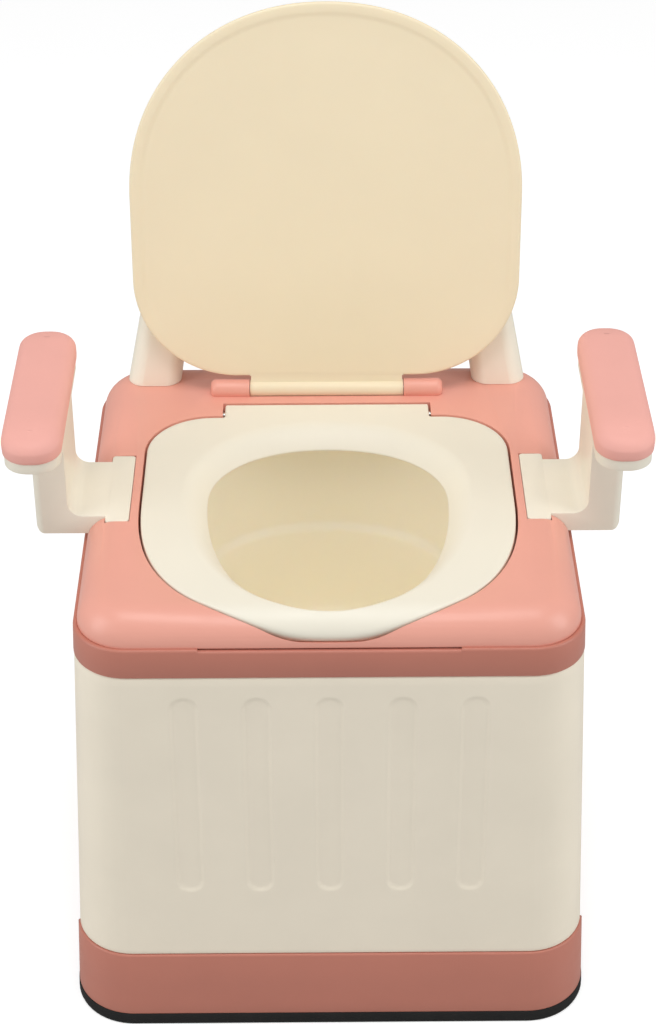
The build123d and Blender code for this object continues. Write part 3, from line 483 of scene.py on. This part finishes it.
def level_row(plan, height):
    level = np.broadcast_to(np.asarray(height, float), (len(plan),))
    return np.column_stack([plan, level])


SEAT_LIP = 402.0
UNDERSIDE = 406.5
low, high = hole_loop(HOLE_LOW), hole_loop(HOLE_HIGH)
skirt_foot = np.where(outline[:, 1] > 92, TAB_BOTTOM, SEAT_BOTTOM)
side_height = np.maximum(deck_height(outline[:, 1]) - skirt_foot, 0)
edge = np.minimum(1.6, side_height * 0.4)
rows = [level_row(hole_loop(HOLE_LOW, 3.5), UNDERSIDE), level_row(hole_loop(HOLE_LOW, 3.5), SEAT_LIP)]
rows += [level_row(hole_loop(HOLE_LOW, 1.3), SEAT_LIP), level_row(hole_loop(HOLE_LOW, 0.35), SEAT_LIP + 0.4)]
rows += [level_row(low, SEAT_LIP + 1.4)]
for t in (0.04, 0.09, 0.16, 0.24, 0.33, 0.43, 0.54, 0.66, 0.78, 0.9, 1.0):
    plan = low + (high - low) * t
    crest = deck_height(high[:, 1])
    rows.append(level_row(plan, SEAT_LIP + 1.4 + (crest - SEAT_LIP - 1.4) * (1 - (1 - t) ** 1.9)))
rim = inset_loop(outline, edge)
for t in (0.05, 0.12, 0.22, 0.34, 0.46, 0.58, 0.7, 0.8, 0.9, 1.0):
    plan = high + (rim - high) * t
    rows.append(level_row(plan, deck_height(plan[:, 1])))
for turn in (60, 30, 0):
    a = math.radians(turn)
    plan = inset_loop(outline, edge * (1 - math.cos(a)))
    rows.append(level_row(plan, deck_height(plan[:, 1]) - edge * (1 - math.sin(a))))
rows += [level_row(outline, skirt_foot), level_row(inset_loop(outline, 4.5), skirt_foot)]
rows += [level_row(inset_loop(outline, 4.5), UNDERSIDE)]
seat = skin("seat_moulded", np.array(rows), closed=True)
place(seat, "seat", ["seat_ring"], materials["seat_plastic"])


# ---------------------------------------------------------------- bucket

BUCKET_SIZE = (123.0, 91.0, -181.0)
BUCKET_RAYS = np.radians(np.arange(0, 360, 2.5))


def bucket_row(height, inset):
    half, rear, front = BUCKET_SIZE
    plan = egg_loop(half - inset, rear - inset, front + inset, HOLE_WIDEST, HOLE_POWER, BUCKET_RAYS)
    return level_row(plan, height)


# Each row is a height and an inset: down the outside, then up the inside
outside = [(398.6, -7.8), (398.2, -8.7), (397.2, -9), (395.8, -9), (395.6, -8), (395.6, 0), (356, 2.4)]
outside += [(320, 4.8), (317.5, 5.3), (315, 7.5), (312.5, 9.6), (310, 10.2), (266, 14.9), (232, 18.4)]
outside += [(227, 20.5), (225, 26)]
inside = [(227.5, 31), (228.3, 27), (230.8, 23.2), (235, 21), (242, 20), (266, 17.4), (296, 14.2)]
inside += [(309, 12.8), (311.4, 12.3), (313, 11.2), (315, 9.7), (316.8, 8.3), (318.4, 7.6), (321, 7.3)]
inside += [(346, 5.75), (376, 3.9), (397, 2.6), (398.2, 3.0), (398.6, 4.2)]
# From the middle of the underside, out and up, over the flange, and down the inside to the floor
rows = [bucket_row(h, inset) for h, inset in list(reversed(outside)) + list(reversed(inside))]
tub = skin("bucket_moulded", np.array(rows), cap_first=True, cap_last=True)


def rounded_box(name, low_corner, high_corner, radius, steps=3):
    """A block with rounded upright edges and soft top and bottom edges."""
    low_corner, high_corner = np.array(low_corner, float), np.array(high_corner, float)
    width, length = high_corner[0] - low_corner[0], high_corner[1] - low_corner[1]
    centre = ((low_corner[0] + high_corner[0]) / 2, (low_corner[1] + high_corner[1]) / 2)
    stack = []
    for inset, drop in reversed(round_over(radius, steps)):
        plan = rounded_bar_loop(width - 2 * inset, length - 2 * inset, radius * 1.02 - inset, centre, 4, 2)
        stack.append(level_row(plan, low_corner[2] + drop))
    for inset, drop in round_over(radius, steps):
        plan = rounded_bar_loop(width - 2 * inset, length - 2 * inset, radius * 1.02 - inset, centre, 4, 2)
        stack.append(level_row(plan, high_corner[2] - drop))
    return skin(name, np.array(stack), cap_first=True, cap_last=True)


def joined(name, *shapes):
    """Several meshes made one object."""
    mesh = bmesh.new()
    for shape in shapes:
        mesh.from_mesh(shape.data)
    out = bpy.data.meshes.new(name)
    mesh.to_mesh(out)
    mesh.free()
    out.shade_smooth()
    piece = bpy.data.objects.new(name, out)
    bpy.context.scene.collection.objects.link(piece)
    for shape in shapes:
        bpy.data.objects.remove(shape)
    return piece


# An ear on each side, which the bail turns in
EAR_INNER, EAR_OUTER = 131.7, 134.7
ears = []
for side in (-1, 1):
    x_range = sorted((side * EAR_INNER, side * EAR_OUTER))
    ears.append(rounded_box(f"ear_{side}", (x_range[0], -41.5, 396.6), (x_range[1], -30.5, 405.9), 0.9))
bucket = joined("bucket_moulded_whole", tub, *ears)
place(bucket, "deck", ["bucket"], materials["bucket_plastic"])


# ---------------------------------------------------------------- armrest pads

def pad_piece(side, side_name):
    """A foam pad: a flat but slightly crowned top, soft edges and ends that roll down."""
    low_corner, high_corner = node_box(f"armrest_pad_{side_name}")
    width, length = high_corner.x - low_corner.x, high_corner.y - low_corner.y
    centre = ((low_corner.x + high_corner.x) / 2, (low_corner.y + high_corner.y) / 2)
    foot, crest = low_corner.z, high_corner.z
    profile = [(3.0, 0.0), (1.2, 0.3), (0.4, 1.2), (0.15, 3.0), (0.0, 6.0), (0.0, 10.5)]
    edge_radius = 10.0
    for turn in (12, 24, 36, 48, 60, 72, 84):
        a = math.radians(turn)
        profile.append((edge_radius * (1 - math.cos(a)), 11.2 + edge_radius * math.sin(a)))
    profile += [(12.5, 21.45), (15, 21.6), (18, 21.8), (20.5, 21.9)]
    stack = []
    for inset, rise in profile:
        plan = rounded_bar_loop(width - 2 * inset, length - 2 * inset, 21.5 - inset, centre, 12, 26)
        lift = smooth((rise - 6) / 10)
        front_roll = 4.5 * smooth((low_corner.y + 34 - plan[:, 1]) / 34)
        back_roll = 1.6 * smooth((plan[:, 1] - high_corner.y + 26) / 26)
        stack.append(level_row(plan, foot + rise - lift * (front_roll + back_roll)))
    # The top closes along the pad's middle line, so it shades as one smooth surface
    for share in (0.6, 0.25, 0.0):
        row = stack[len(profile) - 1].copy()
        row[:, 0] = centre[0] + (row[:, 0] - centre[0]) * share
        row[:, 2] += 0.08 * (1 - share)
        stack.append(row)
    pad = skin(f"armrest_pad_{side_name}_foam", np.array(stack), cap_first=True)
    mesh = bmesh.new()
    mesh.from_mesh(pad.data)
    bmesh.ops.remove_doubles(mesh, verts=mesh.verts, dist=1e-6)
    mesh.to_mesh(pad.data)
    mesh.free()
    place(pad, f"armrest_{side_name}", [f"armrest_pad_{side_name}"], materials["pad_soft"])
    return pad


for side, side_name in ((-1, "left"), (1, "right")):
    pad_piece(side, side_name)
    bracket = softened(f"armrest_bracket_{side_name}", f"armrest_bracket_{side_name}_moulded", 1.6)
    place(
        bracket, f"armrest_{side_name}", [f"armrest_bracket_{side_name}"],
        materials["armrest_plastic"],
    )
    post = softened(f"backrest_post_{side_name}", f"backrest_post_{side_name}_moulded", 0.6)
    place(post, "backrest", [f"backrest_post_{side_name}"], materials["backrest_plastic"])


# ---------------------------------------------------------------- deck, lid and back panel

deck = softened("top_deck", "top_deck_moulded", 0.7)
place(deck, "deck", ["top_deck"], materials["deck_plastic"])


LID_AXIS = np.array((0, 142.0, 422.0))
LID_LEAN = math.radians(8)
LID_HALF, LID_LENGTH, LID_POWER, LID_REAR, LID_CORNER = 168.6, 347.0, 2.12, 13.0, 90.0
LID_FACE, LID_BACK = 2.5, -5.5
TAB_REACH, TAB_SIDE = 33.5, 68.2  # the CAD tab's reach up the lid, and just past its half width
TAB_CUT = 15.2  # where the CAD tab ends inside the plate
RECESS_DEPTH = 1.0


def lid_outline():
    """The lid's outline on its own plane, anticlockwise from the middle of its rear edge."""
    straight_end = LID_LENGTH - LID_HALF
    right = [(x, LID_REAR) for x in np.linspace(0, LID_HALF - LID_CORNER, 12)]
    right += arc_points((LID_HALF - LID_CORNER, LID_REAR + LID_CORNER), LID_CORNER, -90, 0, 40)[1:]
    right += [(LID_HALF, y) for y in np.linspace(LID_REAR + LID_CORNER, straight_end, 12)][1:]
    front = []
    for t in np.linspace(0, math.pi / 2, 600):
        across = LID_HALF * max(math.cos(t), 0) ** (2 / LID_POWER)
        front.append((across, straight_end + LID_HALF * math.sin(t) ** (2 / LID_POWER)))
    right += [tuple(p) for p in evenly(front, 3)][1:-1]
    return np.array(right + [(0, LID_LENGTH)] + [(-x, y) for x, y in reversed(right[1:])])


def on_lid(plan, level):
    """Points of the lid's own plane, placed as the open lid leans."""
    level = np.broadcast_to(np.asarray(level, float), (len(plan),))
    c, s = math.cos(LID_LEAN), math.sin(LID_LEAN)
    return LID_AXIS + np.column_stack([plan[:, 0], s * plan[:, 1] - c * level, c * plan[:, 1] + s * level])


def lid_piece():
    """The lid: a shallow recess inside a soft rim, a round back, and the CAD lid's tab and knuckle."""
    edge = lid_outline()
    rows = []
    for inset, drop in ((60, 1), (30, 1), (13, 1), (11.5, 0.9), (10, 0.55), (8.6, 0.15), (7.4, 0), (4.5, 0)):
        plan = inset_loop(edge, inset)
        # The recess fades out towards the hinge, where the tab lies flush
        fade = smooth((plan[:, 1] - TAB_REACH - 4) / 60)
        rows.append(on_lid(plan, LID_FACE - RECESS_DEPTH * drop * fade))
    for inset, level in ((2.2, 2.5), (1.2, 2.3), (0.4, 1.7), (0.05, 0.8), (0, 0), (0, -0.5), (0.4, -2.4)):
        rows.append(on_lid(inset_loop(edge, inset), level))
    for inset, level in ((1.4, -4.0), (2.8, -5.0), (5, LID_BACK), (8, LID_BACK)):
        rows.append(on_lid(inset_loop(edge, inset), level))
    plate = skin("lid_plate", np.array(rows), cap_first=True, cap_last=True)
    tab = softened("lid", "lid_tab", 1.2)
    mesh = bmesh.new()
    mesh.from_mesh(tab.data)
    top = on_lid(np.array([(0, TAB_CUT)]), 0)[0] * MM
    up = (0, math.sin(LID_LEAN), math.cos(LID_LEAN))
    cuts = [(top, up)] + [((side * TAB_SIDE * MM, 0, 0), (side, 0, 0)) for side in (1, -1)]
    for point, normal in cuts:
        geometry = mesh.verts[:] + mesh.edges[:] + mesh.faces[:]
        bmesh.ops.bisect_plane(mesh, geom=geometry, plane_co=point, plane_no=normal, clear_outer=True)
    mesh.to_mesh(tab.data)
    mesh.free()
    return joined("lid_moulded", plate, tab)


lid = lid_piece()
place(lid, "lid", ["lid"], materials["lid_plastic"])
panel = softened("backrest_panel", "backrest_panel_moulded", 0.5)
place(panel, "backrest", ["backrest_panel"], materials["backrest_plastic"])


# ---------------------------------------------------------------- floor, light and camera

def floor_material():
    material = bpy.data.materials.new("floor")
    material.use_nodes = True
    shader = material.node_tree.nodes["Principled BSDF"]
    shader.inputs["Base Color"].default_value = (0.6, 0.6, 0.6, 1)
    shader.inputs["Roughness"].default_value = 0.9
    shader.inputs["Emission Color"].default_value = (1, 1, 1, 1)
    # White to the camera, as a lit studio sweep, without that extra light reaching the chair
    ray_kind = material.node_tree.nodes.new("ShaderNodeLightPath")
    glow = material.node_tree.nodes.new("ShaderNodeMath")
    glow.operation = "MULTIPLY"
    glow.inputs[1].default_value = 0.62
    material.node_tree.links.new(ray_kind.outputs["Is Camera Ray"], glow.inputs[0])
    material.node_tree.links.new(glow.outputs["Value"], shader.inputs["Emission Strength"])
    return material


floor_mesh = bpy.data.meshes.new("floor")
floor_mesh.from_pydata([(-30, -30, 0), (30, -30, 0), (30, 30, 0), (-30, 30, 0)], [], [(0, 1, 2, 3)])
floor = bpy.data.objects.new("floor", floor_mesh)
bpy.context.scene.collection.objects.link(floor)
floor_mesh.materials.append(floor_material())

# The sky seen behind the chair is white, but it lights the chair less than that
world = bpy.data.worlds.new("studio")
bpy.context.scene.world = world
world.use_nodes = True
sky_nodes, sky_links = world.node_tree.nodes, world.node_tree.links
sky = sky_nodes["Background"]
sky.inputs["Color"].default_value = (1, 1, 1, 1)
sky.inputs["Strength"].default_value = 0.45
backdrop = sky_nodes.new("ShaderNodeBackground")
backdrop.inputs["Color"].default_value = (1, 1, 1, 1)
backdrop.inputs["Strength"].default_value = 1.02
ray = sky_nodes.new("ShaderNodeLightPath")
pick = sky_nodes.new("ShaderNodeMixShader")
sky_links.new(ray.outputs["Is Camera Ray"], pick.inputs["Fac"])
sky_links.new(sky.outputs["Background"], pick.inputs[1])
sky_links.new(backdrop.outputs["Background"], pick.inputs[2])
sky_links.new(pick.outputs["Shader"], sky_nodes["World Output"].inputs["Surface"])


def area_light(name, location, aim, size, energy):
    light = bpy.data.lights.new(name, "AREA")
    light.shape = "RECTANGLE"
    light.size, light.size_y = size
    light.energy = energy
    lamp = bpy.data.objects.new(name, light)
    lamp.location = location
    lamp.rotation_euler = (Vector(aim) - Vector(location)).to_track_quat("-Z", "Y").to_euler()
    bpy.context.scene.collection.objects.link(lamp)
    return lamp


area_light("top", (0, -0.5, 2.7), (0, 0, 0.4), (1.4, 1.2), 20)
area_light("left", (-2.0, -0.8, 1.2), (0, 0, 0.4), (1.0, 1.8), 17)
area_light("right", (2.0, -0.8, 1.2), (0, 0, 0.4), (1.0, 1.8), 17)

camera_data = bpy.data.cameras.new("camera")
camera_data.lens = 82.195
camera_data.sensor_width = 36
camera = bpy.data.objects.new("camera", camera_data)
camera.location = (-0.00815, -1.64838, 1.49958)
camera.rotation_euler = [math.radians(angle) for angle in (55.920, 0.165, -0.399)]
bpy.context.scene.collection.objects.link(camera)
bpy.context.scene.camera = camera
bpy.context.scene.view_settings.view_transform = "Standard"
